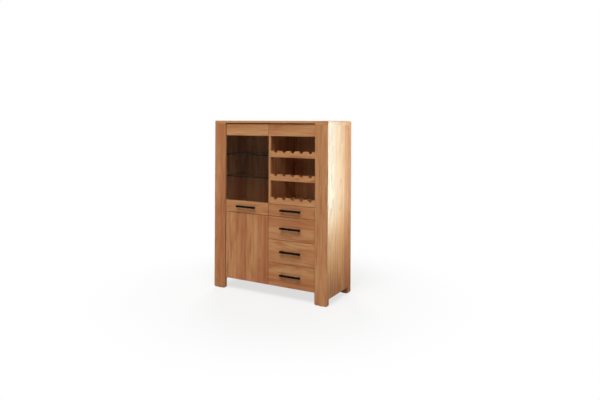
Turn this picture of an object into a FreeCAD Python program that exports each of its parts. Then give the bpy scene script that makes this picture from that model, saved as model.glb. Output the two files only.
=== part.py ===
# Wine cabinet in oiled solid wood: a glazed display door over a plain cupboard door on the left,
# three levels of notched bottle racks over four drawers on the right.
# Millimetres, +Z up. The front faces -Y and the origin is the centre of the footprint on the floor.
import FreeCAD, Part
import os
from FreeCAD import Vector

os.makedirs("parts", exist_ok=True)

# Overall size, without the handles
width = 1060.0
depth = 440.0
height = 1400.0

# Carcass boards
top_thickness = 32.0
post_width = 110.0
post_thickness = 30.0
rear_post_depth = 60.0
rear_foot_width = 60.0
side_thickness = 25.0
side_lift = 53.0
divider_thickness = 25.0
wall_thickness = 18.0
board_thickness = 22.0
back_thickness = 12.0
back_inset = 8.0
outer_radius = 6.0
top_rear_radius = 18.0
foot_radius = 14.0
seam_chamfer = 2.0
foot_chamfer = 6.0
rebate_height = 12.0
shadow_gap = 6.0
glide_height = 3.0
glide_size = 20.0
tenon_thickness = 8.0
tenon_width = 36.0
tenon_length = 40.0
tenon_depth_in_top = 18.0
slot_clearance = 0.05

# Doors, drawer fronts and fascia, which share one plane behind the post faces
front_recess = 9.0
front_thickness = 22.0
front_gap = 3.0
front_stop = 2.0
front_radius = 2.5
front_bottom = 92.0
shallow_pitch = 97.0
fascia_height = 96.0
bottom_board_lift = 3.0

# Glass door
glass_thickness = 6.0
glass_groove_depth = 12.0
glass_clearance = 0.2

# Pivot hinges of the two doors
hinge_gap = 3.5
pivot_inset = 8.0
pivot_pin_radius = 3.0
pivot_pin_length = 14.0
pivot_running_clearance = 0.05
pivot_bush_wall = 1.5
pivot_plate_thickness = 2.0
pivot_plate_width = 14.0
pivot_plate_grip = 25.0
top_plate_thickness = 4.0
top_plate_length = 40.0

# Catches
strike_thickness = 1.0
strike_size = 10.0
catch_gap = 0.3
catch_width = 40.0
catch_height = 12.0
catch_length = 36.0
catch_side = 20.0
latch_size = 14.0
latch_length = 58.0
latch_setback = 5.0
latch_drop = 84.0
plunger_radius = 3.0
plunger_length = 42.0
plunger_stroke = 3.0

# Shelves
shelf_thickness = 18.0
glass_shelf_thickness = 8.0
glass_shelf_rise = 4.0
glass_shelf_arris = 1.0
shelf_setback = 26.0
shelf_play = 1.0
floor_setback = 4.0
support_thickness = 3.0
support_width = 12.0
support_length = 16.0
support_inset = 40.0

# Bottle racks
rack_pitch = 185.0
upper_bay = 167.0
rack_stile_width = 18.5
rail_height = 50.0
notch_radius = 19.5
notch_pitch = 77.5
notch_end = 40.0
notch_softening = 3.5
neck_radius = 15.0
rear_rail_distance = 215.0
rear_rail_thickness = 20.0
bottle_radius = 38.0
rear_notch_depth = 20.0

# Drawer boxes
slide_gap = 13.0
box_wall = 12.0
box_bottom_thickness = 6.0
box_groove_depth = 5.0
box_groove_height = 8.0
box_rear_clearance = 14.0
deep_lift = 30.0
deep_drop = 20.0
shallow_lift = 14.0
shallow_drop = 30.0
runner_height = 30.0
runner_depth = 9.0
runner_wall = 1.5
runner_clearance = 0.3
runner_end = 8.0

# Bar handles
handle_length = 190.0
handle_height = 16.0
handle_bar_depth = 9.0
handle_projection = 25.0
handle_chamfer = 2.0
handle_post_width = 10.0
handle_post_inset = 20.0
handle_rise = 4.0

# Planes that the pieces share
handle_overhang = handle_projection - front_recess
y_front = -(depth - handle_overhang) / 2
y_rear = y_front + depth
y_post_back = y_front + post_thickness
y_rear_post = y_rear - rear_post_depth
y_face = y_front + front_recess
y_face_back = y_face + front_thickness
y_carcass = y_face_back + front_stop
y_floor = y_carcass + floor_setback
y_shelf = y_carcass + shelf_setback
y_back_panel = y_rear - back_inset - back_thickness
x_outer = width / 2
x_side = x_outer - side_thickness
x_post = x_outer - post_width
x_divider = divider_thickness / 2
x_stile = front_gap / 2 + rack_stile_width
x_hinge_edge = -x_post + hinge_gap
x_pivot = x_hinge_edge + pivot_inset
y_pivot = y_face + pivot_inset
z_frame = height - top_thickness
z_rebate = z_frame + rebate_height
z_front_top = z_rebate - shadow_gap
z_fascia = z_front_top - fascia_height
z_rack = z_fascia - upper_bay - 2 * rack_pitch
z_shallow = z_rack - shallow_pitch
drawer_pitch = (z_shallow - front_bottom) / 3
z_bottom_board = front_bottom + bottom_board_lift
z_floor = z_bottom_board + board_thickness
z_latch = z_shallow - latch_drop


def box(x0, x1, y0, y1, z0, z1):
    """Board between two corners, given in any order along X."""
    left = min(x0, x1)
    return Part.makeBox(abs(x1 - x0), y1 - y0, z1 - z0, Vector(left, y0, z0))


def edges_on(solid, **planes):
    """Edges whose ends all lie on the given planes, such as y=0 or x=5 with z=2."""
    picked = []
    for edge in solid.Edges:
        ends = [vertex.Point for vertex in edge.Vertexes]
        if all(abs(getattr(p, axis) - value) < 1e-6 for p in ends for axis, value in planes.items()):
            picked.append(edge)
    return picked


def rod(start, direction, radius, length):
    """Round rod or drill from a point along a direction."""
    return Part.makeCylinder(radius, length, start, direction)


def export(name, *solids):
    """Writes one node; like pieces share it as a group of separate solids."""
    shape = solids[0] if len(solids) == 1 else Part.makeCompound(list(solids))
    shape.exportStep("parts/" + name + ".step")


def front_panel(x0, x1, z0, z1):
    """Door, drawer front or rail with its front edges rounded over."""
    panel = box(x0, x1, y_face, y_face_back, z0, z1)
    return panel.makeFillet(front_radius, edges_on(panel, y=y_face))


def bar_handle(x_middle, z_panel):
    """Bar with round ends on two square posts, as one casting, a little above a panel's middle."""
    z_middle = z_panel + handle_rise
    half = handle_length / 2
    end = handle_height / 2
    y_tip = y_face - handle_projection
    y_bar = y_tip + handle_bar_depth
    straight = half - end
    corners = [
        Vector(x_middle - straight, y_tip, z_middle - end),
        Vector(x_middle + straight, y_tip, z_middle - end),
        Vector(x_middle + straight, y_tip, z_middle + end),
        Vector(x_middle - straight, y_tip, z_middle + end),
    ]
    right_tip = Vector(x_middle + half, y_tip, z_middle)
    left_tip = Vector(x_middle - half, y_tip, z_middle)
    outline = Part.Wire([
        Part.makeLine(corners[0], corners[1]),
        Part.Arc(corners[1], right_tip, corners[2]).toShape(),
        Part.makeLine(corners[2], corners[3]),
        Part.Arc(corners[3], left_tip, corners[0]).toShape(),
    ])
    bar = Part.Face(outline).extrude(Vector(0, handle_bar_depth, 0))
    bar = bar.makeChamfer(handle_chamfer, edges_on(bar, y=y_tip))
    post_half = handle_post_width / 2
    for side in (-1, 1):
        x_post_middle = x_middle + side * (half - handle_post_inset)
        bar = bar.fuse(box(x_post_middle - post_half, x_post_middle + post_half, y_bar, y_face,
                           z_middle - post_half, z_middle + post_half))
    return bar.removeSplitter()


# Loose tenons between the top board and the uprights: the middle of each, and its widths along X and Y
tenon_places = []
for side in (-1, 1):
    for share in (0.3, 0.7):
        tenon_places.append((side * (x_outer - share * post_width), y_front + post_thickness / 2,
                             tenon_width, tenon_thickness))
        tenon_places.append((side * (x_outer - side_thickness / 2),
                             y_post_back + share * (y_rear_post - y_post_back), tenon_thickness, tenon_width))
for x_upright in (0.0, x_post + wall_thickness / 2):
    for share in (0.2, 0.8):
        tenon_places.append((x_upright, y_carcass + share * (y_back_panel - y_carcass),
                             tenon_thickness, tenon_width))


def tenon_set(clearance):
    """All tenons, or their mortises when a clearance is given."""
    low = z_frame - (tenon_length - tenon_depth_in_top) - clearance
    high = z_frame + tenon_depth_in_top + clearance
    tenons = []
    for x, y, x_size, y_size in tenon_places:
        x_half = x_size / 2 + clearance
        y_half = y_size / 2 + clearance
        tenons.append(box(x - x_half, x + x_half, y - y_half, y + y_half, low, high))
    return tenons


mortises = Part.makeCompound(tenon_set(slot_clearance))
export("carcass_tenons", *tenon_set(0.0))

# Top board: flush with the posts, rebated underneath between them; the fronts rise into the rebate and
# leave a shadow line, and its depth clears the path of the glass door's hinged edge
top_board = box(-x_outer, x_outer, y_front, y_rear, z_frame, height)
top_board = top_board.makeFillet(outer_radius, edges_on(top_board, y=y_front, z=height))
top_board = top_board.makeFillet(top_rear_radius, edges_on(top_board, y=y_rear, z=height))
end_edges = []
for x_end in (-x_outer, x_outer):
    low_edges = edges_on(top_board, x=x_end, z=z_frame)
    end_edges += [e for e in edges_on(top_board, x=x_end) if not any(e.isSame(low) for low in low_edges)]
top_board = top_board.makeFillet(outer_radius, end_edges)
rebate = box(-x_post, x_post, y_front - 1, y_floor, z_frame - 1, z_rebate)
top_board = top_board.cut(rebate).cut(mortises)
export("top_board", top_board)

# Pivot plates: a pin for each door on plates let into the left post and under the top board
z_gap_plate = z_shallow - front_gap / 2 - pivot_plate_thickness / 2
z_low_plate = front_bottom - front_gap / 2 - pivot_plate_thickness / 2
y_plate = y_pivot - pivot_plate_width / 2
plate_head = pivot_plate_width / 2


def pivot_plate(z_low):
    """Plate that reaches from inside the post to just past the pivot."""
    return box(-x_post - pivot_plate_grip, x_pivot + plate_head, y_plate, y_plate + pivot_plate_width,
               z_low, z_low + pivot_plate_thickness)


def pivot_pin(z_plate, direction, z_door):
    """Pin from a plate's face into a door edge."""
    length = abs(z_door - z_plate) + pivot_pin_length
    return rod(Vector(x_pivot, y_pivot, z_plate), Vector(0, 0, direction), pivot_pin_radius, length)


z_top_plate = z_rebate - top_plate_thickness
top_plate = box(x_pivot - plate_head, x_pivot + top_plate_length, y_plate, y_plate + pivot_plate_width,
                z_top_plate, z_rebate)
top_plate = top_plate.fuse(pivot_pin(z_top_plate, -1, z_front_top)).removeSplitter()
gap_plate = pivot_plate(z_gap_plate)
gap_plate = gap_plate.fuse(pivot_pin(z_gap_plate + pivot_plate_thickness, 1, z_shallow))
gap_plate = gap_plate.fuse(pivot_pin(z_gap_plate, -1, z_shallow - front_gap)).removeSplitter()
low_plate = pivot_plate(z_low_plate)
low_plate = low_plate.fuse(pivot_pin(z_low_plate + pivot_plate_thickness, 1, front_bottom)).removeSplitter()
export("pivot_plates", top_plate, gap_plate, low_plate)

# Front posts: wide boards down to the floor with round-cornered feet and rounded faces; the left one holds
# two pivot plates
for side, name in ((-1, "left_front_post"), (1, "right_front_post")):
    post = box(side * x_outer, side * x_post, y_front, y_post_back, glide_height, z_frame)
    foot_edges = edges_on(post, x=side * x_outer, z=glide_height)
    foot_edges += edges_on(post, x=side * x_post, z=glide_height)
    post = post.makeFillet(foot_radius, foot_edges)
    top_edges = edges_on(post, y=y_front, z=z_frame)
    face_edges = [e for e in edges_on(post, y=y_front) if not any(e.isSame(top) for top in top_edges)]
    post = post.makeFillet(outer_radius, face_edges).cut(mortises)
    if side < 0:
        for z_plate in (z_gap_plate, z_low_plate):
            post = post.cut(box(-x_post - pivot_plate_grip, -x_post + 1, y_plate, y_post_back + 1,
                                z_plate, z_plate + pivot_plate_thickness))
    export(name, post)

# Rear posts and side panels: flush outside, with a small groove where they meet; the posts widen to square
# feet under the bottom board
z_shelves = {
    "display_shelf_upper": z_rack + 2 * rack_pitch + glass_shelf_rise,
    "display_shelf_lower": z_rack + rack_pitch + glass_shelf_rise,
    "cupboard_shelf": (z_floor + z_shallow - shelf_thickness) / 2,
}


def shelf_support_set(clearance):
    """Flat tongues under the shelves, half in the side panel or divider, or the slots for them."""
    tongues = []
    half_length = support_length / 2 + clearance
    half_width = support_width / 2 + clearance
    for z_shelf in z_shelves.values():
        for x_wall in (-x_side, -x_divider):
            for y in (y_shelf + support_inset, y_rear_post - support_inset):
                tongues.append(box(x_wall - half_length, x_wall + half_length, y - half_width, y + half_width,
                                   z_shelf - support_thickness - clearance, z_shelf + clearance))
    return tongues


support_slots = Part.makeCompound(shelf_support_set(slot_clearance))
for side, name in ((-1, "left"), (1, "right")):
    rear_post = box(side * x_outer, side * x_side, y_rear_post, y_rear, glide_height, z_frame)
    foot_block = box(side * x_outer, side * (x_outer - rear_foot_width), y_rear_post, y_rear, glide_height,
                     z_bottom_board)
    rear_post = rear_post.fuse(foot_block).removeSplitter()
    rear_post = rear_post.makeFillet(outer_radius, edges_on(rear_post, x=side * x_outer, y=y_rear))
    rear_post = rear_post.makeChamfer(seam_chamfer, edges_on(rear_post, x=side * x_outer, y=y_rear_post))
    rear_post = rear_post.makeChamfer(foot_chamfer, edges_on(rear_post, y=y_rear, z=glide_height))
    export(name + "_rear_post", rear_post)
    panel = box(side * x_outer, side * x_side, y_post_back, y_rear_post, side_lift, z_frame)
    panel = panel.makeChamfer(seam_chamfer, edges_on(panel, x=side * x_outer, y=y_rear_post))
    panel = panel.makeFillet(front_radius, edges_on(panel, x=side * x_outer, z=side_lift))
    panel = panel.cut(mortises)
    if side < 0:
        panel = panel.cut(support_slots)
    export(name + "_side_panel", panel)
export("shelf_supports", *shelf_support_set(0.0))

# Square glides under the feet
glides = []
glide_half = glide_size / 2
for side in (-1, 1):
    front_foot = (x_outer - post_width / 2, y_front + post_thickness / 2)
    rear_foot = (x_outer - rear_foot_width / 2, y_rear - rear_post_depth / 2)
    for x_foot, y_foot in (front_foot, rear_foot):
        glides.append(box(side * (x_foot - glide_half), side * (x_foot + glide_half),
                          y_foot - glide_half, y_foot + glide_half, 0, glide_height))
export("foot_glides", *glides)

# Inner boards: bottom, divider, the wall behind the right post, and the two compartment floors
# The floors behind the doors stand back from the path of the doors' hinged edges
export("bottom_board", box(-x_side, x_side, y_floor, y_back_panel, z_bottom_board, z_floor))
divider = box(-x_divider, x_divider, y_carcass, y_back_panel, z_floor, z_frame)
export("centre_divider", divider.cut(mortises).cut(support_slots))
wall = box(x_post, x_post + wall_thickness, y_post_back, y_back_panel, z_floor, z_frame)
export("right_inner_wall", wall.cut(mortises))
z_display = z_shallow + board_thickness
export("display_floor", box(-x_side, -x_divider, y_floor, y_back_panel, z_shallow, z_display))
export("rack_floor", box(x_divider, x_post, y_carcass, y_back_panel, z_rack - board_thickness, z_rack))

# Back panels, in two halves that meet behind the divider
y_back_outer = y_back_panel + back_thickness
for x0, x1, name in ((-x_side, 0.0, "left_back_panel"), (0.0, x_side, "right_back_panel")):
    panel = box(x0, x1, y_back_panel, y_back_outer, z_bottom_board, z_frame)
    export(name, panel.makeChamfer(seam_chamfer, edges_on(panel, x=0.0, y=y_back_outer)))


# Shelves, which lie loose on their supports: arrissed glass behind the glass door, wood in the cupboard
def shelf_between(z_shelf, thickness):
    """Shelf between the side panel and the divider, with a little play all round."""
    return box(-x_side + shelf_play, -x_divider - shelf_play, y_shelf, y_back_panel - shelf_play,
               z_shelf, z_shelf + thickness)


for name in ("display_shelf_upper", "display_shelf_lower"):
    pane = shelf_between(z_shelves[name], glass_shelf_thickness)
    export(name, pane.makeChamfer(glass_shelf_arris, edges_on(pane, y=y_shelf)))
shelf = shelf_between(z_shelves["cupboard_shelf"], shelf_thickness)
export("cupboard_shelf", shelf.makeFillet(front_radius, edges_on(shelf, y=y_shelf)))

# Rack front: fascia over the bottles, and the stile that covers the divider's edge beside them
fascia = box(front_gap / 2, x_post, y_face, y_carcass, z_fascia, z_front_top)
export("rack_fascia", fascia.makeFillet(front_radius, edges_on(fascia, y=y_face, z=z_fascia)
                                        + edges_on(fascia, y=y_face, z=z_front_top)))
stile = box(front_gap / 2, x_stile, y_face, y_carcass, z_rack, z_fascia)
export("rack_stile", stile)

# Bottle rails: half-round notches for the necks in front, wide shallow ones for the bottles behind
rail_span = x_post - x_stile
rack_middle = (x_divider + x_post) / 2
notch_count = int((rail_span - 2 * notch_end) / notch_pitch) + 1
notch_places = [rack_middle + (i - (notch_count - 1) / 2) * notch_pitch for i in range(notch_count)]
y_rear_rail = y_face + rear_rail_distance


def front_rail(z_rail):
    """Rail with a half-round neck notch for each bottle and softened shoulders between them."""
    z_top = z_rail + rail_height
    rail = box(x_stile, x_post, y_face, y_face_back, z_rail, z_top)
    for x_notch in notch_places:
        drill = rod(Vector(x_notch, y_face - 1, z_top), Vector(0, 1, 0), notch_radius, front_thickness + 2)
        rail = rail.cut(drill)
    shoulders = []
    for x_notch in notch_places:
        for side in (-1, 1):
            shoulders += edges_on(rail, x=x_notch + side * notch_radius, z=z_top)
    return rail.makeFillet(notch_softening, shoulders)


def rear_rail(z_rail):
    """Lower rail behind, cut to the bottle's body on the same line as the neck notches."""
    z_axis = z_rail + rail_height - notch_radius + neck_radius
    z_top = z_axis - bottle_radius + rear_notch_depth
    rail = box(x_divider, x_post, y_rear_rail, y_rear_rail + rear_rail_thickness, z_rail, z_top)
    for x_notch in notch_places:
        rail = rail.cut(rod(Vector(x_notch, y_rear_rail - 1, z_axis), Vector(0, 1, 0), bottle_radius,
                            rear_rail_thickness + 2))
    return rail


rack_levels = [z_rack + level * rack_pitch for level in range(3)]
for z_rail, name in zip(rack_levels, ("lower", "middle", "upper")):
    export("rack_front_rail_" + name, front_rail(z_rail))
export("rack_rear_rails", *[rear_rail(z_rail) for z_rail in rack_levels])

# Doors: bushes for the pivot pins sit in both ends of each
bush_radius = pivot_pin_radius + pivot_running_clearance + pivot_bush_wall


def pivot_bush(z_edge, direction):
    """Bush let into a door edge, open right through."""
    start = Vector(x_pivot, y_pivot, z_edge)
    bush = rod(start, Vector(0, 0, direction), bush_radius, pivot_pin_length)
    return bush.cut(rod(start, Vector(0, 0, direction), pivot_pin_radius + pivot_running_clearance,
                        pivot_pin_length))


def bush_drill(z_edge, direction):
    """Hole for a bush, a little deeper than the pin reaches."""
    return rod(Vector(x_pivot, y_pivot, z_edge), Vector(0, 0, direction), bush_radius,
               pivot_pin_length + front_gap)


z_glass_low = z_rack - glass_groove_depth
z_glass_high = z_fascia + glass_groove_depth
y_glass = y_face + (front_thickness - glass_thickness) / 2
x_free_edge = -front_gap / 2
groove = box(x_hinge_edge - 1, x_free_edge + 1, y_glass - glass_clearance,
             y_glass + glass_thickness + glass_clearance, z_glass_low, z_glass_high)
top_rail = front_panel(x_hinge_edge, x_free_edge, z_fascia, z_front_top)
export("glass_door_top_rail", top_rail.cut(groove).cut(bush_drill(z_front_top, -1)))
bottom_rail = front_panel(x_hinge_edge, x_free_edge, z_shallow, z_rack)
export("glass_door_bottom_rail", bottom_rail.cut(groove).cut(bush_drill(z_shallow, 1)))
export("glass_door_pane", box(x_hinge_edge, x_free_edge, y_glass, y_glass + glass_thickness,
                              z_glass_low, z_glass_high))
x_door_middle = (x_hinge_edge + x_free_edge) / 2
export("glass_door_handle", bar_handle(x_door_middle, (z_shallow + z_rack) / 2))
export("glass_door_bushes", pivot_bush(z_front_top, -1), pivot_bush(z_shallow, 1))

z_cupboard_top = z_shallow - front_gap
cupboard_panel = front_panel(x_hinge_edge, x_free_edge, front_bottom, z_cupboard_top)
cupboard_panel = cupboard_panel.cut(bush_drill(z_cupboard_top, -1)).cut(bush_drill(front_bottom, 1))
export("cupboard_door_panel", cupboard_panel)
export("cupboard_door_bushes", pivot_bush(z_cupboard_top, -1), pivot_bush(front_bottom, 1))


# Catches: a magnet for the glass door, a push latch for the cupboard door, and their strike plates
def strike(x_middle, z_middle):
    """Thin plate on the back of a door."""
    half = strike_size / 2
    return box(x_middle - half, x_middle + half, y_face_back, y_face_back + strike_thickness,
               z_middle - half, z_middle + half)


y_catch = y_face_back + strike_thickness + catch_gap
x_catch = -x_divider - catch_side
z_catch_top = z_display + catch_height
magnet = box(x_catch - catch_width, x_catch, y_catch, y_catch + catch_length, z_display, z_catch_top)
export("magnet_catch", magnet.makeChamfer(seam_chamfer, edges_on(magnet, z=z_catch_top)))
export("glass_door_strike", strike(x_catch - catch_width / 2, z_display + catch_height / 2))

x_latch = -x_divider - latch_size / 2
y_latch = y_carcass + latch_setback
latch = box(-x_divider - latch_size, -x_divider, y_latch, y_latch + latch_length,
            z_latch - latch_size / 2, z_latch + latch_size / 2)
plunger_start = Vector(x_latch, y_catch, z_latch)
latch_bore = rod(plunger_start, Vector(0, 1, 0), plunger_radius + pivot_running_clearance,
                 plunger_length + plunger_stroke + catch_gap)
export("touch_latch_housing", latch.cut(latch_bore))
plunger = rod(plunger_start, Vector(0, 1, 0), plunger_radius, plunger_length)
export("touch_latch_plunger", plunger)
export("cupboard_door_strike", strike(x_latch, z_latch))

# Drawers: front with handle, box of two sides and a back, bottom in grooves, channel slides
x_drawer_right = x_post - front_gap
x_box_left = x_divider + slide_gap
x_box_right = x_post - slide_gap
y_box_end = y_back_panel - box_rear_clearance
runners = []


def channel(x_web, toward, z_middle, high, deep):
    """Folded channel with its web at one side and its flanges pointing along X."""
    x_tip = x_web + toward * deep
    outer = box(x_web, x_tip, y_carcass + runner_end, y_box_end - runner_end, z_middle - high / 2,
                z_middle + high / 2)
    hollow = box(x_web + toward * runner_wall, x_tip + toward, y_carcass, y_box_end,
                 z_middle - high / 2 + runner_wall, z_middle + high / 2 - runner_wall)
    return outer.cut(hollow)


def make_drawer(name, z_low, z_high, lift, drop):
    """One drawer as five nodes; its fixed runners join the shared group."""
    front = front_panel(front_gap / 2, x_drawer_right, z_low, z_high)
    export(name + "_front", front)
    export(name + "_handle", bar_handle((front_gap / 2 + x_drawer_right) / 2, (z_low + z_high) / 2))

    z_box = z_low + lift
    z_rim = z_high - drop
    z_panel = z_box + box_groove_height
    z_inside = z_panel + box_bottom_thickness
    x_in_left = x_box_left + box_wall
    x_in_right = x_box_right - box_wall
    bottom = box(x_in_left - box_groove_depth, x_in_right + box_groove_depth, y_face_back, y_box_end,
                 z_panel, z_inside)
    left = box(x_box_left, x_in_left, y_face_back, y_box_end, z_box, z_rim).cut(bottom)
    right = box(x_in_right, x_box_right, y_face_back, y_box_end, z_box, z_rim).cut(bottom)
    back = box(x_in_left, x_in_right, y_box_end - box_wall, y_box_end, z_inside, z_rim)
    export(name + "_box", left, right, back)
    export(name + "_bottom", bottom)

    z_runner = (z_box + z_rim) / 2
    inner_height = runner_height - 2 * (runner_wall + runner_clearance)
    inner_depth = slide_gap - runner_wall - runner_clearance
    slides = []
    for x_wall, x_box, toward in ((x_divider, x_box_left, 1), (x_post, x_box_right, -1)):
        runners.append(channel(x_wall, toward, z_runner, runner_height, runner_depth))
        slides.append(channel(x_box, -toward, z_runner, inner_height, inner_depth))
    export(name + "_slides", *slides)


make_drawer("drawer_1", z_shallow, z_rack - front_gap, shallow_lift, shallow_drop)
for number, step in ((2, 2), (3, 1), (4, 0)):
    z_drawer = front_bottom + step * drawer_pitch
    make_drawer("drawer_" + str(number), z_drawer, z_drawer + drawer_pitch - front_gap, deep_lift, deep_drop)
export("drawer_runners", *runners)
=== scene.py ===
import math
import bmesh
import bpy
from mathutils import Matrix, Vector


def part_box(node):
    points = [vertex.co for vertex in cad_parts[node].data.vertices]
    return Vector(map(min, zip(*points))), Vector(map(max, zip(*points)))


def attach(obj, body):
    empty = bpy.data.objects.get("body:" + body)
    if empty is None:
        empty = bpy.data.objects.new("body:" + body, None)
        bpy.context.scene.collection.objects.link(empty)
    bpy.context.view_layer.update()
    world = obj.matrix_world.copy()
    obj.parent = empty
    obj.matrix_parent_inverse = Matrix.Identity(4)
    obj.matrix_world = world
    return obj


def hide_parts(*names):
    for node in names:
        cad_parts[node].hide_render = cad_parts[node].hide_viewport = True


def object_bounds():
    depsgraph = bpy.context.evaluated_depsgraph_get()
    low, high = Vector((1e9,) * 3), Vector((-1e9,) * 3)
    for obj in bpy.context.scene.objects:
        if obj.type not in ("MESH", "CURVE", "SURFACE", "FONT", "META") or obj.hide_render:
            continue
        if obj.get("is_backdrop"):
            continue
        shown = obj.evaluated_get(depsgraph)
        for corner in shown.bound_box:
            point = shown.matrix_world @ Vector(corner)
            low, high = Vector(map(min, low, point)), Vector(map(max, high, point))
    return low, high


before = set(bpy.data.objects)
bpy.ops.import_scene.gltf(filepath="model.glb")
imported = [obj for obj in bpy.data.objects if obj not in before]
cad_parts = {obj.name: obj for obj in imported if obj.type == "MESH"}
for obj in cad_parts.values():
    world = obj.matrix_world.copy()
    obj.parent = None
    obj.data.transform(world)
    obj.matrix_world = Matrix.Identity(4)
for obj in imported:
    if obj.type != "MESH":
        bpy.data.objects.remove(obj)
cad_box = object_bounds()


# Posts and side panels: solid alder glued up from upright staves, planed, rounded at the outer edges and
# oiled. Loose tenons fix them under the top board. The posts run down to the floor as feet, and a fine groove
# marks where each side panel meets its rear post.
def linear(code):
    """Turns an sRGB hex colour into the linear RGBA that a socket takes."""
    channels = [int(code[i:i + 2], 16) / 255 for i in (1, 3, 5)]
    return [c / 12.92 if c <= 0.04045 else ((c + 0.055) / 1.055) ** 2.4 for c in channels] + [1.0]


def add_node(tree, kind, sockets, **settings):
    """Adds a node with its settings, fills its inputs with values or links, and returns its outputs."""
    node = tree.nodes.new(kind)
    for name, value in settings.items():
        setattr(node, name, value)
    for name, value in sockets.items():
        if isinstance(value, bpy.types.NodeSocket):
            tree.links.new(value, node.inputs[name])
        else:
            node.inputs[name].default_value = value
    return node.outputs


def start_material(name):
    """Adds an empty material and returns it, its node tree and the place on the piece in metres."""
    material = bpy.data.materials.new(name)
    material.use_nodes = True
    tree = material.node_tree
    tree.nodes.clear()
    spot = add_node(tree, "ShaderNodeTexCoord", {})["Object"]
    return material, tree, spot


# Staves are cut at random from the log, in uneven widths. Growth rings run round a pith that lies beside or
# under the stave, so flat-cut staves show arches and others straight lines, and wood near the pith is redder.
# The rings, fibres and pores are drawn about three times as wide as real ones, so that they show.
staves = bpy.data.node_groups.new("glued_staves", "ShaderNodeTree")
taken = {"Board": "Vector", "Stave": "Float", "Uneven": "Float", "Lot": "Float",
         "Deep": "Color", "Pale": "Color", "Heart": "Color", "Late": "Color"}
made = {"Colour": "Color", "Roughness": "Float", "Height": "Float"}
for in_out, labels in (("INPUT", taken), ("OUTPUT", made)):
    for label, kind in labels.items():
        staves.interface.new_socket(label, in_out=in_out, socket_type="NodeSocket" + kind)
given = add_node(staves, "NodeGroupInput", {})
along, across, through = add_node(staves, "ShaderNodeSeparateXYZ", {0: given["Board"]})[:3]

# Which stave this is, and what was drawn for it from the lot
lane = add_node(staves, "ShaderNodeMath", {0: across, 1: given["Stave"]}, operation="DIVIDE")[0]
sway = add_node(staves, "ShaderNodeMath", {0: lane, 1: math.pi, 2: given["Lot"]},
                operation="MULTIPLY_ADD")[0]
sway = add_node(staves, "ShaderNodeMath", {0: sway}, operation="SINE")[0]
lane = add_node(staves, "ShaderNodeMath", {0: sway, 1: given["Uneven"], 2: lane},
                operation="MULTIPLY_ADD")[0]
number = add_node(staves, "ShaderNodeMath", {0: lane}, operation="FLOOR")[0]
inside = add_node(staves, "ShaderNodeMath", {0: lane}, operation="FRACT")[0]
ticket = add_node(staves, "ShaderNodeCombineXYZ", {0: number, 1: given["Lot"]})[0]
drawn = add_node(staves, "ShaderNodeTexWhiteNoise", {"Vector": ticket}, noise_dimensions="2D")["Color"]
draw_pith, draw_depth, draw_tone = add_node(staves, "ShaderNodeSeparateColor", {0: drawn})[:3]

# Place in the stave, with the length shifted so that neighbours never match
log_length = 17.0
shift = add_node(staves, "ShaderNodeMath", {0: draw_depth, 1: log_length, 2: along},
                 operation="MULTIPLY_ADD")[0]
centred = add_node(staves, "ShaderNodeMath", {0: inside, 1: 0.5}, operation="SUBTRACT")[0]
side = add_node(staves, "ShaderNodeMath", {0: centred, 1: given["Stave"]}, operation="MULTIPLY")[0]
place = add_node(staves, "ShaderNodeCombineXYZ", {0: shift, 1: side, 2: through})[0]

# Patterns in the stave, each with its length, width and depth in metres and its detail
patterns = {}
for label, size, detail in (
    ("wander", (0.42, 0.14, 0.14), 1.5),
    ("ripple", (0.09, 0.012, 0.012), 2.0),
    ("fibre", (0.15, 0.0024, 0.0024), 3.0),
    ("pore", (0.014, 0.0011, 0.0011), 1.0),
    ("cloud", (0.4, 0.06, 0.06), 2.0),
    ("flame", (0.3, 0.035, 0.035), 2.5),
    ("flush", (0.26, 0.028, 0.028), 2.0),
):
    counts = [1 / length for length in size]
    scaled = add_node(staves, "ShaderNodeVectorMath", {0: place, 1: counts}, operation="MULTIPLY")[0]
    patterns[label] = add_node(staves, "ShaderNodeTexNoise",
                               {"Vector": scaled, "Scale": 1.0, "Detail": detail})["Fac"]

# Growth rings round a wandering pith, each year with its own vigour and dark late wood
pith_beside = 0.08
pith_under = (-0.01, 0.05)
pith_wander = 0.06
ring_width = 0.011
ring_ripple = 0.45
late_season = 0.5
pith_side = add_node(staves, "ShaderNodeMapRange", {0: draw_pith, 3: -pith_beside, 4: pith_beside})[0]
pith_depth = add_node(staves, "ShaderNodeMapRange", {0: draw_depth, 3: pith_under[0], 4: pith_under[1]})[0]
ring_x = add_node(staves, "ShaderNodeMath", {0: side, 1: pith_side}, operation="ADD")[0]
ring_y = add_node(staves, "ShaderNodeMath", {0: through, 1: pith_depth}, operation="ADD")[0]
ring_y = add_node(staves, "ShaderNodeMath", {0: patterns["wander"], 1: pith_wander, 2: ring_y},
                  operation="MULTIPLY_ADD")[0]
ring_at = add_node(staves, "ShaderNodeCombineXYZ", {0: ring_x, 1: ring_y})[0]
radius = add_node(staves, "ShaderNodeVectorMath", {0: ring_at}, operation="LENGTH")["Value"]
age = add_node(staves, "ShaderNodeMath", {0: radius, 1: ring_width}, operation="DIVIDE")[0]
age = add_node(staves, "ShaderNodeMath", {0: patterns["ripple"], 1: ring_ripple, 2: age},
               operation="MULTIPLY_ADD")[0]
season = add_node(staves, "ShaderNodeMath", {0: age}, operation="FRACT")[0]
year = add_node(staves, "ShaderNodeMath", {0: age}, operation="FLOOR")[0]
year_ticket = add_node(staves, "ShaderNodeCombineXYZ", {0: year, 1: number, 2: given["Lot"]})[0]
vigour = add_node(staves, "ShaderNodeTexWhiteNoise", {"Vector": year_ticket},
                  noise_dimensions="3D")["Value"]
late = add_node(staves, "ShaderNodeMapRange", {0: season, 1: late_season, 2: 1.0},
                interpolation_type="SMOOTHSTEP")[0]
late = add_node(staves, "ShaderNodeMath", {0: late, 1: vigour}, operation="MULTIPLY")[0]

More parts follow.
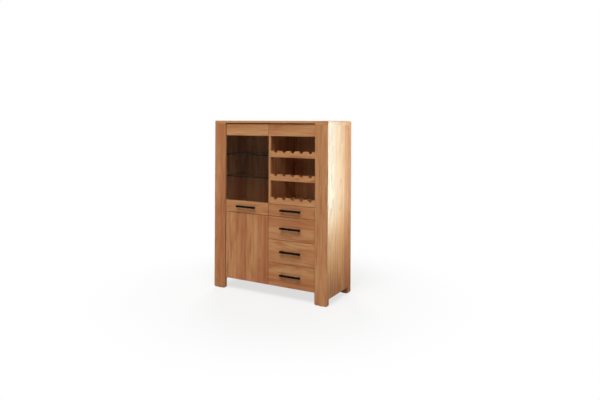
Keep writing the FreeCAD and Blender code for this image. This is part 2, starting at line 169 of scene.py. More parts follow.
# The stave's own tone, clouded, and over it the red heart and red flushes
tone_share = 0.45
tone_limits = (0.4, 1.1)
heart_radius = (0.03, 0.085)
heart_ripple = 0.06
heart_share = 0.8
flush_limits = (0.48, 0.7)
flush_share = 0.6
tone = add_node(staves, "ShaderNodeMath", {0: draw_tone, 1: tone_share, 2: patterns["cloud"]},
                operation="MULTIPLY_ADD")[0]
tone = add_node(staves, "ShaderNodeMapRange", {0: tone, 1: tone_limits[0], 2: tone_limits[1]})[0]
colour = add_node(staves, "ShaderNodeMix", {0: tone, 6: given["Deep"], 7: given["Pale"]},
                  data_type="RGBA")[2]
flame = add_node(staves, "ShaderNodeMath", {0: patterns["flame"], 1: heart_ripple, 2: radius},
                 operation="MULTIPLY_ADD")[0]
flame = add_node(staves, "ShaderNodeMapRange",
                 {0: flame, 1: heart_radius[1], 2: heart_radius[0], 4: heart_share},
                 interpolation_type="SMOOTHSTEP")[0]
flush = add_node(staves, "ShaderNodeMapRange",
                 {0: patterns["flush"], 1: flush_limits[0], 2: flush_limits[1], 4: flush_share},
                 interpolation_type="SMOOTHSTEP")[0]
flame = add_node(staves, "ShaderNodeMath", {0: flame, 1: flush}, operation="MAXIMUM")[0]
colour = add_node(staves, "ShaderNodeMix", {0: flame, 6: colour, 7: given["Heart"]}, data_type="RGBA")[2]

# Over that the rings, the fibres, and the dark pores and glue lines
ring_share = 0.46
fibre_limits = (0.3, 0.7)
fibre_tones = (0.9, 1.1)
pore_limits = (0.62, 0.74)
pore_share = 0.3
glue_line = 0.0012
glue_share = 0.35
ring = add_node(staves, "ShaderNodeMath", {0: late, 1: ring_share}, operation="MULTIPLY")[0]
colour = add_node(staves, "ShaderNodeMix", {0: ring, 6: colour, 7: given["Late"]}, data_type="RGBA")[2]
streak = add_node(staves, "ShaderNodeMapRange",
                  {0: patterns["fibre"], 1: fibre_limits[0], 2: fibre_limits[1],
                   3: fibre_tones[0], 4: fibre_tones[1]})[0]
colour = add_node(staves, "ShaderNodeVectorMath", {0: colour, "Scale": streak}, operation="SCALE")[0]
pore = add_node(staves, "ShaderNodeMapRange", {0: patterns["pore"], 1: pore_limits[0], 2: pore_limits[1]})[0]
pit = add_node(staves, "ShaderNodeMath", {0: pore, 1: pore_share}, operation="MULTIPLY")[0]
rim = add_node(staves, "ShaderNodeMath", {0: centred}, operation="ABSOLUTE")[0]
rim = add_node(staves, "ShaderNodeMath", {0: 0.5, 1: rim}, operation="SUBTRACT")[0]
rim = add_node(staves, "ShaderNodeMath", {0: rim, 1: given["Stave"]}, operation="MULTIPLY")[0]
glue = add_node(staves, "ShaderNodeMapRange", {0: rim, 1: glue_line, 2: 0.0, 4: glue_share})[0]
dark = add_node(staves, "ShaderNodeMath", {0: pit, 1: glue}, operation="MAXIMUM")[0]
colour = add_node(staves, "ShaderNodeMix", {0: dark, 6: colour, 7: given["Late"]}, data_type="RGBA")[2]

# Oil sinks into the pale early wood, so that is a little duller; fibres and pores give the surface its relief
oiled_limits = (0.25, 0.75)
oiled_rough = (0.36, 0.27)
late_polish = -0.04
pore_depth = -0.8
matt = add_node(staves, "ShaderNodeMapRange",
                {0: patterns["fibre"], 1: oiled_limits[0], 2: oiled_limits[1],
                 3: oiled_rough[0], 4: oiled_rough[1]})[0]
matt = add_node(staves, "ShaderNodeMath", {0: late, 1: late_polish, 2: matt}, operation="MULTIPLY_ADD")[0]
relief = add_node(staves, "ShaderNodeMath", {0: pore, 1: pore_depth, 2: patterns["fibre"]},
                  operation="MULTIPLY_ADD")[0]
add_node(staves, "NodeGroupOutput", {"Colour": colour, "Roughness": matt, "Height": relief})

# Oiled alder: warm red-brown and silky rather than shiny, with paler and redder staves side by side
alder = {"Deep": "#A26744", "Pale": "#B9895D", "Heart": "#965635", "Late": "#7C472A"}
alder_rubbed = "#C59A70"
stave_unevenness = 0.2


def rub_edges(tree, radius, worn_facing):
    """Returns a normal that rounds the edges over, and how far each spot is worn as on a handled edge."""
    flat_facing = 0.99
    worn_share = 0.3
    soft = add_node(tree, "ShaderNodeBevel", {"Radius": radius}, samples=4)["Normal"]
    sharp = add_node(tree, "ShaderNodeNewGeometry", {})["Normal"]
    facing = add_node(tree, "ShaderNodeVectorMath", {0: soft, 1: sharp}, operation="DOT_PRODUCT")["Value"]
    worn = add_node(tree, "ShaderNodeMapRange", {0: facing, 1: flat_facing, 2: worn_facing, 4: worn_share})[0]
    return soft, worn


def planed_wood(name, wood, rubbed, start, grain, across_axis, stave, lot, uneven=0.0, turned_from=None):
    """Wood whose staves begin at a corner of the board, with grain and width along two axes.
    Past turned_from along Y, the grain lies along X instead."""
    material, tree, spot = start_material(name)
    corner = add_node(tree, "ShaderNodeVectorMath", {0: spot, 1: start}, operation="SUBTRACT")[0]
    axes = add_node(tree, "ShaderNodeSeparateXYZ", {0: corner})
    through_axis = ({"X", "Y", "Z"} - {grain, across_axis}).pop()
    board = add_node(tree, "ShaderNodeCombineXYZ",
                     {0: axes[grain], 1: axes[across_axis], 2: axes[through_axis]})[0]
    if turned_from is not None:
        turned = add_node(tree, "ShaderNodeCombineXYZ", {0: axes["X"], 1: axes["Z"], 2: axes["Y"]})[0]
        past = add_node(tree, "ShaderNodeMath", {0: axes["Y"], 1: turned_from - start[1]},
                        operation="GREATER_THAN")[0]
        board = add_node(tree, "ShaderNodeMix", {0: past, 4: board, 5: turned}, data_type="VECTOR")[1]
    cut = {"Board": board, "Stave": stave, "Uneven": uneven, "Lot": lot}
    for tint, code in wood.items():
        cut[tint] = linear(code)
    sawn = add_node(tree, "ShaderNodeGroup", cut, node_tree=staves)
    # Handled edges are rubbed a little paler and catch the light
    soft, worn = rub_edges(tree, radius=0.003, worn_facing=0.75)
    colour = add_node(tree, "ShaderNodeMix", {0: worn, 6: sawn["Colour"], 7: linear(rubbed)},
                      data_type="RGBA")[2]
    bump = add_node(tree, "ShaderNodeBump",
                    {"Height": sawn["Height"], "Strength": 0.25, "Distance": 0.0006, "Normal": soft})[0]
    shader = add_node(tree, "ShaderNodeBsdfPrincipled",
                      {"Base Color": colour, "Roughness": sawn["Roughness"], "Normal": bump,
                       "IOR": 1.5, "Specular IOR Level": 0.015})[0]
    add_node(tree, "ShaderNodeOutputMaterial", {"Surface": shader})
    return material


def dress(node, material):
    """Gives a node of the frame its material."""
    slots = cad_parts[node].data.materials
    slots.clear()
    slots.append(material)


# Staves begin a little outside their board, so that no glue line falls on its faces
saw_kerf = Vector((0.0005, 0.0005, 0.0005))


def dress_board(node, grain, across_axis, stave_count, lot):
    """Oiled alder for one board, in its own staves, counted across its width and drawn from a lot."""
    low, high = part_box(node)
    axis = "XYZ".index(across_axis)
    stave = (high[axis] - low[axis] + 2 * saw_kerf[axis]) / stave_count
    uneven = stave_unevenness if stave_count > 1 else 0.0
    dress(node, planed_wood("oiled_alder_" + node, alder, alder_rubbed, low - saw_kerf, grain, across_axis,
                            stave, lot, uneven))


# The right side panel's lot gives pale staves at its front and a redder, darker stave at its rear. That is
# the wood's own stave tone, and also painted light and shade for light that falls off towards the rear.
for hand, front_lot, rear_lot, side_lot in (("left", 44.4, 25.9, 85.1), ("right", 48.1, 51.8, 14.8)):
    dress_board(hand + "_front_post", "Z", "X", 2, front_lot)
    dress_board(hand + "_rear_post", "Z", "Y", 1, rear_lot)
    dress_board(hand + "_side_panel", "Z", "Y", 4, side_lot)

# Inner boards: bottom, centre divider, the wall that carries the right runners, and the two compartment
# floors. They are alder too, glued and screwed between the sides, with upright grain in the walls and lying
# grain in the others.
for node, lot in (("centre_divider", 29.6), ("right_inner_wall", 33.3)):
    dress_board(node, "Z", "Y", 4, lot)
for node, lot in (("bottom_board", 37.0), ("display_floor", 40.7), ("rack_floor", 7.4)):
    dress_board(node, "X", "Y", 4, lot)

# Loose tenons: flat slips of raw beech, glued half into the uprights and half into the top board.
# Pale and dry, they stay hidden once the cabinet is together.
beech = {"Deep": "#C08A5A", "Pale": "#D2A676", "Heart": "#BC8456", "Late": "#A06C42"}
tenon_stave = 0.036
tenon_lot = 500.0
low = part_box("carcass_tenons")[0]
dress("carcass_tenons",
      planed_wood("raw_beech_tenons", beech, beech["Pale"], low, "Z", "X", tenon_stave, tenon_lot))

# Top board: alder with its grain along the front, five staves deep, rounded along its upper edges and more
# so at the back. It is rebated underneath, so that a dark line shows over the fronts.
dress_board("top_board", "X", "Y", 5, 59.2)

# Back: two alder panels that meet behind the divider with a fine groove. Screws with low, round-edged heads
# fix them to the rear edges of the divider, the right wall, the bottom and the compartment floors.
for hand, lot in (("left", 62.9), ("right", 66.6)):
    dress_board(hand + "_back_panel", "Z", "X", 5, lot)


def zinc_plate(name, rolled):
    """Bright zinc-plated steel: a cool, faintly clouded mirror, dulled by fine marks along its rolling."""
    cloud_size = 0.012
    mark_width = 0.0009
    mark_length = 0.04
    material, tree, spot = start_material(name)
    cloud = add_node(tree, "ShaderNodeTexNoise",
                     {"Vector": spot, "Scale": 1 / cloud_size, "Detail": 2.0})["Fac"]
    colour = add_node(tree, "ShaderNodeMix", {0: cloud, 6: linear("#A9ABAC"), 7: linear("#CDD0D4")},
                      data_type="RGBA")[2]
    stretch = [1 / mark_width] * 3
    stretch["XYZ".index(rolled)] = 1 / mark_length
    marks = add_node(tree, "ShaderNodeVectorMath", {0: spot, 1: stretch}, operation="MULTIPLY")[0]
    marks = add_node(tree, "ShaderNodeTexNoise", {"Vector": marks, "Scale": 1.0, "Detail": 2.0})["Fac"]
    rough = add_node(tree, "ShaderNodeMapRange", {0: marks, 1: 0.3, 2: 0.7, 3: 0.24, 4: 0.44})[0]
    bump = add_node(tree, "ShaderNodeBump", {"Height": marks, "Strength": 0.15, "Distance": 0.0002})[0]
    shader = add_node(tree, "ShaderNodeBsdfPrincipled",
                      {"Base Color": colour, "Metallic": 1.0, "Roughness": rough, "Normal": bump})[0]
    add_node(tree, "ShaderNodeOutputMaterial", {"Surface": shader})
    return material


def begin(name):
    """Names the primitive just added, puts its place into its mesh and opens it for editing."""
    piece = bpy.context.object
    piece.name = name
    bpy.ops.object.transform_apply(location=True, rotation=True, scale=True)
    bpy.ops.object.mode_set(mode="EDIT")
    return piece


def select_edges(piece, test):
    """Selects the edges of an opened piece whose two ends pass a test on their places."""
    bpy.ops.mesh.select_mode(type="EDGE")
    bpy.ops.mesh.select_all(action="DESELECT")
    shape = bmesh.from_edit_mesh(piece.data)
    for edge in shape.edges:
        if test(edge.verts[0].co, edge.verts[1].co):
            edge.select_set(True)
    bmesh.update_edit_mesh(piece.data)


def combine(piece, tool, operation):
    """Joins a second piece to the first, or cuts it out, and removes it."""
    joint = piece.modifiers.new("joint", "BOOLEAN")
    joint.operation = operation
    joint.solver = "EXACT"
    joint.object = tool
    bpy.context.view_layer.objects.active = piece
    bpy.ops.object.modifier_apply(modifier="joint")
    bpy.data.objects.remove(tool)


def close(piece, angle):
    """Smooths a finished piece's curved faces, leaving edges sharper than the angle."""
    bpy.ops.object.select_all(action="DESELECT")
    piece.select_set(True)
    bpy.context.view_layer.objects.active = piece
    bpy.ops.object.shade_smooth_by_angle(angle=math.radians(angle))


def add_copy(pattern, name, offset):
    """Copies a finished piece with its own mesh, moved by an offset."""
    twin = pattern.copy()
    twin.data = pattern.data.copy()
    twin.name = name
    bpy.context.scene.collection.objects.link(twin)
    twin.data.transform(Matrix.Translation(offset))
    return twin


def join_all(pieces, name):
    """Makes one piece of many."""
    bpy.ops.object.select_all(action="DESELECT")
    for piece in pieces:
        piece.select_set(True)
    bpy.context.view_layer.objects.active = pieces[0]
    bpy.ops.object.join()
    pieces[0].name = name
    return pieces[0]


def cross_screw(name, head_radius, head_height, rim):
    """Screw head at the origin with a cross recess, facing along +Y."""
    recess_width = head_radius * 0.26
    recess_length = head_radius * 1.25
    recess_depth = head_height * 0.7
    recess_rounding = recess_width * 0.2
    bpy.ops.object.select_all(action="DESELECT")
    bpy.ops.mesh.primitive_cylinder_add(vertices=24, radius=head_radius, depth=head_height,
                                        location=(0, head_height / 2, 0),
                                        rotation=(math.radians(90), 0, 0))
    head = begin(name)
    select_edges(head, lambda a, b: min(a.y, b.y) > head_height * 0.9)
    bpy.ops.mesh.bevel(offset=rim, segments=3, profile=0.5, affect="EDGES")
    bpy.ops.object.mode_set(mode="OBJECT")
    for turn in (0, 90):
        bpy.ops.object.select_all(action="DESELECT")
        bpy.ops.mesh.primitive_cube_add(size=1.0, location=(0, head_height, 0),
                                        rotation=(0, math.radians(turn), 0))
        bpy.context.object.scale = (recess_length, 2 * recess_depth, recess_width)
        slot = begin("recess")
        select_edges(slot, lambda a, b: max(a.y, b.y) < head_height)
        bpy.ops.mesh.bevel(offset=recess_rounding, segments=1, affect="EDGES")
        bpy.ops.object.mode_set(mode="OBJECT")
        combine(head, slot, "DIFFERENCE")
    close(head, angle=35)
    return head


# Six screws stand on each side of the seam and on the right wall. Four on each side of the divider hold the
# compartment floor, and four more the bottom.
seam_screws = 6
seam_margin = 0.09
seam_offset = 0.0075
floor_screws = 4
first_reach = 0.12
reach_step = 0.105
screw_steel = zinc_plate("zinc_plated_screw_steel", "X")
pattern_screw = cross_screw("back_screw", head_radius=0.0036, head_height=0.0012, rim=0.0005)
pattern_screw.data.materials.append(screw_steel)
panel_low, panel_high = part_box("left_back_panel")
wall_low, wall_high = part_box("right_inner_wall")
bottom_low, bottom_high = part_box("bottom_board")
seam_length = panel_high.z - panel_low.z - 2 * seam_margin
screw_places = []
for step in range(seam_screws):
    height = panel_low.z + seam_margin + step * seam_length / (seam_screws - 1)
    for x in (-seam_offset, seam_offset, (wall_low.x + wall_high.x) / 2):
        screw_places.append((x, height))
for step in range(floor_screws):
    reach = first_reach + step * reach_step
    for direction, node in ((-1, "display_floor"), (1, "rack_floor")):
        floor_low, floor_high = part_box(node)
        screw_places.append((direction * reach, (floor_low.z + floor_high.z) / 2))
        screw_places.append((direction * reach, (bottom_low.z + bottom_high.z) / 2))
screws = [add_copy(pattern_screw, "back_screw", (x, panel_high.y, z)) for x, z in screw_places]
bpy.data.objects.remove(pattern_screw)
back_screws = join_all(screws, "back_panel_screws")
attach(back_screws, "carcass")


# Foot glides: square pads moulded in pale nylon, pressed under the feet so that the end grain stays off the
# floor. They stand back from the feet's edges, so that little of them shows.
def moulded(name, pale, deep, grain_size, rough):
    """Moulded plastic: an even tone with a fine spark-eroded grain and a soft, waxy shine."""
    flow_size = 0.009
    rough_change = 0.06
    material, tree, spot = start_material(name)
    flow = add_node(tree, "ShaderNodeTexNoise",
                    {"Vector": spot, "Scale": 1 / flow_size, "Detail": 2.0})["Fac"]
    colour = add_node(tree, "ShaderNodeMix", {0: flow, 6: linear(deep), 7: linear(pale)},
                      data_type="RGBA")[2]
    grain = add_node(tree, "ShaderNodeTexNoise",
                     {"Vector": spot, "Scale": 1 / grain_size, "Detail": 1.0})["Fac"]
    dull = add_node(tree, "ShaderNodeMapRange",
                    {0: grain, 1: 0.3, 2: 0.7, 3: rough - rough_change, 4: rough + rough_change})[0]
    bump = add_node(tree, "ShaderNodeBump", {"Height": grain, "Strength": 0.2, "Distance": 0.0002})[0]
    shader = add_node(tree, "ShaderNodeBsdfPrincipled",
                      {"Base Color": colour, "Roughness": dull, "Normal": bump, "IOR": 1.53})[0]
    add_node(tree, "ShaderNodeOutputMaterial", {"Surface": shader})
    return material


nylon = moulded("pale_moulded_nylon", "#DEDACF", "#CFC9BA", grain_size=0.0008, rough=0.5)
dress("foot_glides", nylon)

# Shelves: two sheets of 8 mm float glass behind the glass door, with arrissed and polished edges, and one
# alder board in the cupboard. Flat tongues of zinc-plated steel, half in slots of the side panel and the
# divider, carry them.
dress_board("cupboard_shelf", "X", "Y", 4, 70.3)
dress("shelf_supports", zinc_plate("zinc_plated_support_steel", "X"))

# Float glass: clear with a faint green cast, hardly any reflection, and faint wiping marks in its shine.
# Its shadow is drawn darker than real glass gives, so that the inside lies in shade as in the photograph.
wipe_size = (0.25, 1.0, 0.06)
glass, tree, spot = start_material("clear_float_glass")
wiped = add_node(tree, "ShaderNodeVectorMath", {0: spot, 1: [1 / length for length in wipe_size]},
                 operation="MULTIPLY")[0]
wiped = add_node(tree, "ShaderNodeTexNoise", {"Vector": wiped, "Scale": 1.0, "Detail": 3.0})["Fac"]
smear = add_node(tree, "ShaderNodeMapRange", {0: wiped, 1: 0.45, 2: 0.75, 3: 0.0, 4: 0.03})[0]
tint = add_node(tree, "ShaderNodeMix", {0: wiped, 6: linear("#FBFDFC"), 7: linear("#F6FAF8")},
                data_type="RGBA")[2]
clear = add_node(tree, "ShaderNodeBsdfPrincipled",
                 {"Base Color": tint, "Roughness": smear, "IOR": 1.08, "Transmission Weight": 1.0})[0]
shaded = add_node(tree, "ShaderNodeBsdfTransparent", {"Color": linear("#6A716E")})[0]
shadow = add_node(tree, "ShaderNodeLightPath", {})["Is Shadow Ray"]
shown = add_node(tree, "ShaderNodeMixShader", {0: shadow, 1: clear, 2: shaded})[0]
add_node(tree, "ShaderNodeOutputMaterial", {"Surface": shown})

# Polished edge: the eye looks along the sheet there, so the glass's own green gathers to a dark line
polish_size = 0.004
glass_edge, tree, spot = start_material("polished_glass_edge")
belt = add_node(tree, "ShaderNodeTexNoise", {"Vector": spot, "Scale": 1 / polish_size, "Detail": 2.0})["Fac"]
polish = add_node(tree, "ShaderNodeMapRange", {0: belt, 1: 0.3, 2: 0.7, 3: 0.08, 4: 0.2})[0]
green = add_node(tree, "ShaderNodeMix", {0: belt, 6: linear("#0F1A15"), 7: linear("#1A2B23")},
                 data_type="RGBA")[2]
edge = add_node(tree, "ShaderNodeBsdfPrincipled",
                {"Base Color": green, "Roughness": polish, "IOR": 1.2, "Transmission Weight": 0.3})[0]
add_node(tree, "ShaderNodeOutputMaterial", {"Surface": edge})


def glass_sheet(name, node, thin_axis, arris):
    """Sheet of float glass in a node's place, with its edges arrissed and polished."""
    low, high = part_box(node)
    bpy.ops.object.select_all(action="DESELECT")
    bpy.ops.mesh.primitive_cube_add(size=1.0, location=(low + high) / 2)
    bpy.context.object.scale = high - low
    sheet = begin(name)
    select_edges(sheet, lambda a, b: True)
    bpy.ops.mesh.bevel(offset=arris, segments=2, profile=0.5, affect="EDGES")
    bpy.ops.object.mode_set(mode="OBJECT")
    close(sheet, angle=20)
    sheet.data.materials.append(glass)
    sheet.data.materials.append(glass_edge)
    for face in sheet.data.polygons:
        face.material_index = 0 if abs(face.normal["XYZ".index(thin_axis)]) > 0.9 else 1
    return sheet


upper_shelf = glass_sheet("glass_shelf_upper", "display_shelf_upper", thin_axis="Z", arris=0.001)
shelf_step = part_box("display_shelf_lower")[0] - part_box("display_shelf_upper")[0]
lower_shelf = add_copy(upper_shelf, "glass_shelf_lower", shelf_step)
for shelf, node in ((upper_shelf, "display_shelf_upper"), (lower_shelf, "display_shelf_lower")):
    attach(shelf, "carcass")
    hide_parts(node)

# Rack front: an alder fascia over the bottles and a narrow alder stile over the divider's edge.
# Both are planed and glued on, and the fascia's long front edges are eased.
dress_board("rack_fascia", "X", "Z", 1, 170.2)
dress_board("rack_stile", "Z", "X", 1, 74.0)

# Bottle rails: alder, drilled in a row and ripped through the holes' middles, so that each half hole takes a
# neck. The lower rails behind are cut wide and shallow for the bottles' bodies.
for level, lot in (("lower", 55.5), ("middle", 144.3), ("upper", 173.9)):
    dress_board("rack_front_rail_" + level, "X", "Z", 1, lot)
rack_pitch = 0.185
rear_rail_lot = 77.7
rail_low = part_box("rack_rear_rails")[0]
dress("rack_rear_rails",
      planed_wood("oiled_alder_rack_rear_rails", alder, alder_rubbed, rail_low - saw_kerf, "X", "Z",
                  rack_pitch, rear_rail_lot))

# Pivot hinges: flat steel plates with turned pins, powder-coated black, let into the left post and screwed
# under the top board. The pins turn in nylon bushes pressed into the ends of both doors.
# The coat is a deep black with a fine orange-peel that breaks up its satin shine, rubbed greyer at the edges.
peel_size = 0.0012
coat, tree, spot = start_material("satin_black_powder_coat")
peel = add_node(tree, "ShaderNodeTexNoise", {"Vector": spot, "Scale": 1 / peel_size, "Detail": 1.5})["Fac"]
worn = rub_edges(tree, radius=0.0012, worn_facing=0.8)[1]
speckle = add_node(tree, "ShaderNodeMix", {0: peel, 6: linear("#030303"), 7: linear("#080707")},
                   data_type="RGBA")[2]
black = add_node(tree, "ShaderNodeMix", {0: worn, 6: speckle, 7: linear("#141312")}, data_type="RGBA")[2]
satin = add_node(tree, "ShaderNodeMapRange", {0: peel, 1: 0.3, 2: 0.7, 3: 0.42, 4: 0.54})[0]
bump = add_node(tree, "ShaderNodeBump", {"Height": peel, "Strength": 0.25, "Distance": 0.0002})[0]
shader = add_node(tree, "ShaderNodeBsdfPrincipled",
                  {"Base Color": black, "Roughness": satin, "Normal": bump,
                   "IOR": 1.5, "Specular IOR Level": 0.05})[0]
add_node(tree, "ShaderNodeOutputMaterial", {"Surface": shader})
dress("pivot_plates", coat)
for door in ("glass_door", "cupboard_door"):
    dress(door + "_bushes", nylon)

# Glass door: two alder rails with lying grain, grooved for a pane that has no stiles. The pane is 6 mm float
# glass, its edges arrissed and polished. The door hangs between the two upper pivot plates.
dress_board("glass_door_top_rail", "X", "Z", 1, 96.2)
dress_board("glass_door_bottom_rail", "X", "Z", 1, 37.0)
pane = glass_sheet("clear_glass_pane", "glass_door_pane", thin_axis="Y", arris=0.0008)
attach(pane, "glass_door")
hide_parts("glass_door_pane")

# Bar handles: a flat cast bar with round ends on two short posts, powder-coated satin black. Two screws
# through the rail or drawer front hold each one from behind. One is modelled and the other four are copies.
bar_depth = 0.009
bar_rounding = 0.002
post_width = 0.010
post_inset = 0.020
post_rounding = 0.0015
rim_points = 64
low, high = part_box("glass_door_handle")
centre = (low + high) / 2
bar_radius = (high.z - low.z) / 2
straight = (high.x - low.x) / 2 - bar_radius
y_start = low.y + bar_depth / 2
bpy.ops.object.select_all(action="DESELECT")
bpy.ops.mesh.primitive_cylinder_add(vertices=rim_points, radius=bar_radius, depth=bar_depth,
                                    location=(centre.x, y_start, centre.z),
                                    rotation=(math.radians(90), math.pi / rim_points, 0))
handle = begin("glass_door_bar_handle")
for direction in (-1, 1):
    select_edges(handle, lambda a, b: all((end.x - centre.x) * direction > 0 for end in (a, b)))
    bpy.ops.transform.translate(value=(direction * straight, 0, 0))
for y_rim, rounding in ((low.y, bar_rounding), (low.y + bar_depth, bar_rounding / 2)):
    select_edges(handle, lambda a, b: all(abs(end.y - y_rim) < 1e-5 for end in (a, b)))
    bpy.ops.mesh.bevel(offset=rounding, segments=4, profile=0.5, affect="EDGES")
bpy.ops.object.mode_set(mode="OBJECT")
post_places = [centre.x + direction * ((high.x - low.x) / 2 - post_inset) for direction in (-1, 1)]
for x_post in post_places:
    bpy.ops.object.select_all(action="DESELECT")
    bpy.ops.mesh.primitive_cube_add(size=1.0, location=(x_post, (y_start + high.y) / 2, centre.z))
    bpy.context.object.scale = (post_width, high.y - y_start, post_width)
    post = begin("post")
    select_edges(post, lambda a, b: abs(a.y - b.y) > 1e-4)
    bpy.ops.mesh.bevel(offset=post_rounding, segments=3, profile=0.5, affect="EDGES")
    bpy.ops.object.mode_set(mode="OBJECT")
    combine(handle, post, "UNION")
close(handle, angle=30)
handle.data.materials.append(coat)

handle_screw = cross_screw("handle_screw", head_radius=0.0042, head_height=0.0022, rim=0.0012)
handle_screw.data.materials.append(screw_steel)
y_panel_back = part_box("glass_door_bottom_rail")[1].y
for body in ("glass_door", "drawer_1", "drawer_2", "drawer_3", "drawer_4"):
    node_low, node_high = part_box(body + "_handle")
    offset = (node_low + node_high) / 2 - centre
    bar = handle if body == "glass_door" else add_copy(handle, body + "_bar_handle", offset)
    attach(bar, body)
    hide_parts(body + "_handle")
    pair = [add_copy(handle_screw, body + "_screw", (x + offset.x, y_panel_back, centre.z + offset.z))
            for x in post_places]
    fixing = join_all(pair, body + "_handle_screws")
    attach(fixing, body)
bpy.data.objects.remove(handle_screw)

# Cupboard door: one alder panel of four upright staves, glued, planed and oiled, its front edges eased.
# It has no handle, and it hangs between the two lower pivot plates.
dress_board("cupboard_door_panel", "Z", "X", 4, 12.6924)

# Catches: a magnet behind the glass door, a push latch with a sprung plunger behind the cupboard door, both
# in brown moulded plastic, and a small strike plate of zinc-plated steel on each door.
brown = moulded("brown_moulded_abs", "#543726", "#432A1C", grain_size=0.0009, rough=0.42)
for node in ("magnet_catch", "touch_latch_housing", "touch_latch_plunger"):
    dress(node, brown)
for door in ("glass_door", "cupboard_door"):
    dress(door + "_strike", zinc_plate("zinc_plated_strike_" + door, "X"))

# Drawer runners and slides: channels folded from zinc-plated strip. The runners are screwed to the divider
# and the right wall, the slides to the drawer sides.
runner_steel = zinc_plate("zinc_plated_runner_strip", "Y")
dress("drawer_runners", runner_steel)

# Drawers: alder fronts with lying staves, one in the shallow one and two in the deep ones, on boxes of
# lacquered birch, which is pale, even and cream-coloured. The boxes' sides run front to back, the back lies
# across, and a thin bottom slides into grooves.
birch = {"Deep": "#C79F6E", "Pale": "#DDBE92", "Heart": "#C2986A", "Late": "#AA7F52"}
birch_rubbed = "#E6CBA2"
box_wall = 0.012
box_lot = 200.0
bottom_lot = 210.0
for number, stave_count, lot in ((1, 1, 155.4), (2, 2, 114.7), (3, 2, 85.1), (4, 2, 103.6)):
    drawer = "drawer_%d" % number
    dress_board(drawer + "_front", "X", "Z", stave_count, lot)
    low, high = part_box(drawer + "_box")
    dress(drawer + "_box",
          planed_wood("lacquered_birch_" + drawer + "_box", birch, birch_rubbed, low - saw_kerf, "Y", "Z",
                      (high.z - low.z) / 2 + saw_kerf.z, box_lot + number,
                      turned_from=high.y - box_wall - saw_kerf.y))
    low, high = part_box(drawer + "_bottom")
    dress(drawer + "_bottom",
          planed_wood("lacquered_birch_" + drawer + "_bottom", birch, birch_rubbed, low - saw_kerf, "X", "Y",
                      (high.y - low.y) / 2 + saw_kerf.y, bottom_lot + number))
    dress(drawer + "_slides", runner_steel)


# Stage: a floor of matt pale paper that fades to white away from the cabinet and keeps its shadow, and a
# background that shows white to the camera, in reflections and through glass. A broad soft lamp hangs high in
# front, and three others help it.
def seen_directly(tree):
    """Whether a ray comes from the camera, or from a mirror or glass, with no matt surface between."""
    ray = add_node(tree, "ShaderNodeLightPath", {})
    seen = add_node(tree, "ShaderNodeMath", {0: ray["Is Camera Ray"], 1: ray["Is Glossy Ray"]},
                    operation="MAXIMUM")[0]
    seen = add_node(tree, "ShaderNodeMath", {0: seen, 1: ray["Is Transmission Ray"]}, operation="MAXIMUM")[0]
    first = add_node(tree, "ShaderNodeMath", {0: ray["Diffuse Depth"], 1: 0.5}, operation="LESS_THAN")[0]
    return add_node(tree, "ShaderNodeMath", {0: seen, 1: first}, operation="MULTIPLY")[0]


fade_radius = (0.6, 1.7)
white_share = (0.7, 1.0)
bpy.ops.object.select_all(action="DESELECT")
bpy.ops.mesh.primitive_plane_add(size=60.0)
floor = bpy.context.object
floor.name = "studio_floor"
floor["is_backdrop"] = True
paper, tree, spot = start_material("matt_white_paper")
away = add_node(tree, "ShaderNodeVectorMath", {0: spot}, operation="LENGTH")["Value"]
fade = add_node(tree, "ShaderNodeMapRange",
                {0: away, 1: fade_radius[0], 2: fade_radius[1], 3: white_share[0], 4: white_share[1]},
                interpolation_type="SMOOTHSTEP")[0]
share = add_node(tree, "ShaderNodeMath", {0: seen_directly(tree), 1: fade}, operation="MULTIPLY")[0]
lit = add_node(tree, "ShaderNodeBsdfDiffuse", {"Color": linear("#D2D2D2")})[0]
white = add_node(tree, "ShaderNodeEmission", {"Color": linear("#FFFFFF"), "Strength": 1.0})[0]
ground = add_node(tree, "ShaderNodeMixShader", {0: share, 1: lit, 2: white})[0]
add_node(tree, "ShaderNodeOutputMaterial", {"Surface": ground})
floor.data.materials.append(paper)

sky_light = 0.14
world = bpy.data.worlds.new("studio")
bpy.context.scene.world = world
world.use_nodes = True
tree = world.node_tree
tree.nodes.clear()
level = add_node(tree, "ShaderNodeMapRange", {0: seen_directly(tree), 3: sky_light, 4: 1.0})[0]
sky = add_node(tree, "ShaderNodeBackground", {"Color": linear("#FFFFFF"), "Strength": level})[0]
add_node(tree, "ShaderNodeOutputWorld", {"Surface": sky})

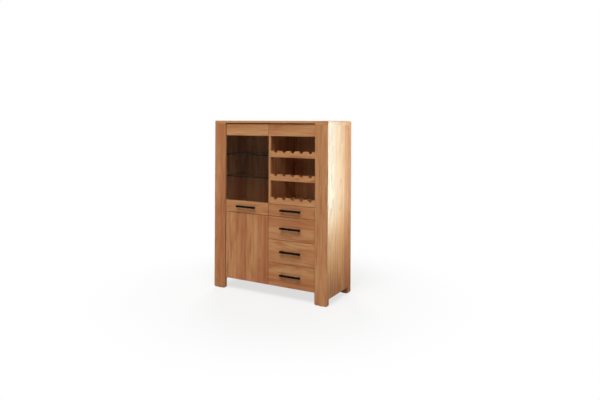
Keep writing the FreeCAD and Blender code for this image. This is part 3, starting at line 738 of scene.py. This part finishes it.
# The weak key warms the right side, and the rear lamp fills in the back and the left side, both without
# gloss. The card beside the right side gives it a cream sheen and no other light.
for name, place, aim, wide, high, power, tint, diffuse, glossy in (
    ("front_soft", (1.8, -5.3, 9.9), (0.0, -0.2, 0.7), 7.0, 7.0, 1450.0, "#FFFFFF", True, True),
    ("key_right", (1.4, -0.1, 1.05), (0.53, -0.1, 1.05), 0.5, 0.5, 1.1, "#FFF6DD", True, False),
    ("fill_rear", (-2.6, 3.6, 3.2), (-0.3, 0.1, 0.7), 2.4, 2.4, 160.0, "#FFFFFF", True, False),
    ("cream_card", (0.83, 0.525, 0.975), (0.53, 0.525, 0.975), 0.75, 1.95, 545.0, "#FFFFFF", False, True),
):
    lamp = bpy.data.lights.new(name, "AREA")
    lamp.shape = "RECTANGLE"
    lamp.size = wide
    lamp.size_y = high
    lamp.energy = power
    lamp.color = linear(tint)[:3]
    holder = bpy.data.objects.new(name, lamp)
    bpy.context.scene.collection.objects.link(holder)
    holder.location = place
    holder.rotation_mode = "QUATERNION"
    holder.rotation_quaternion = (Vector(aim) - Vector(place)).to_track_quat("-Z", "Y")
    holder.visible_camera = False
    holder.visible_diffuse = diffuse
    holder.visible_glossy = glossy

# The card's glow fades, and turns from cool to golden, towards its rear end and towards the floor
rear_limits = (0.88, 0.36)
floor_limits = (-0.03, 0.36)
card = bpy.data.lights["cream_card"]
card.use_nodes = True
tree = card.node_tree
tree.nodes.clear()
at = add_node(tree, "ShaderNodeNewGeometry", {})["Parametric"]
sideways, upward = add_node(tree, "ShaderNodeSeparateXYZ", {0: at})[:2]
from_rear = add_node(tree, "ShaderNodeMapRange", {0: sideways, 1: rear_limits[0], 2: rear_limits[1]})[0]
from_floor = add_node(tree, "ShaderNodeMapRange", {0: upward, 1: floor_limits[0], 2: floor_limits[1]})[0]
both = add_node(tree, "ShaderNodeMath", {0: from_rear, 1: from_floor}, operation="ADD")[0]
glow = add_node(tree, "ShaderNodeMapRange", {0: both, 1: 1.0, 2: 2.0})[0]
cream = add_node(tree, "ShaderNodeMix", {0: glow, 6: linear("#FFDA7C"), 7: linear("#C6EEF4")},
                 data_type="RGBA")[2]
sheen = add_node(tree, "ShaderNodeEmission", {"Color": cream, "Strength": glow})[0]
add_node(tree, "ShaderNodeOutputLight", {"Surface": sheen})

# The camera was fitted to the photograph. It is almost level, with its frame shifted down
view = bpy.data.cameras.new("photo_view")
view.lens = 32.2
view.sensor_width = 36.0
view.shift_y = -0.1275
camera = bpy.data.objects.new("photo_view", view)
bpy.context.scene.collection.objects.link(camera)
camera.location = (2.296, -3.826, 1.379)
camera.rotation_euler = (math.radians(90), math.radians(-0.315), math.radians(29.03))
bpy.context.scene.camera = camera
bpy.context.scene.view_settings.view_transform = "Standard"

size = [[list(corner) for corner in box] for box in (cad_box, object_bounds())]
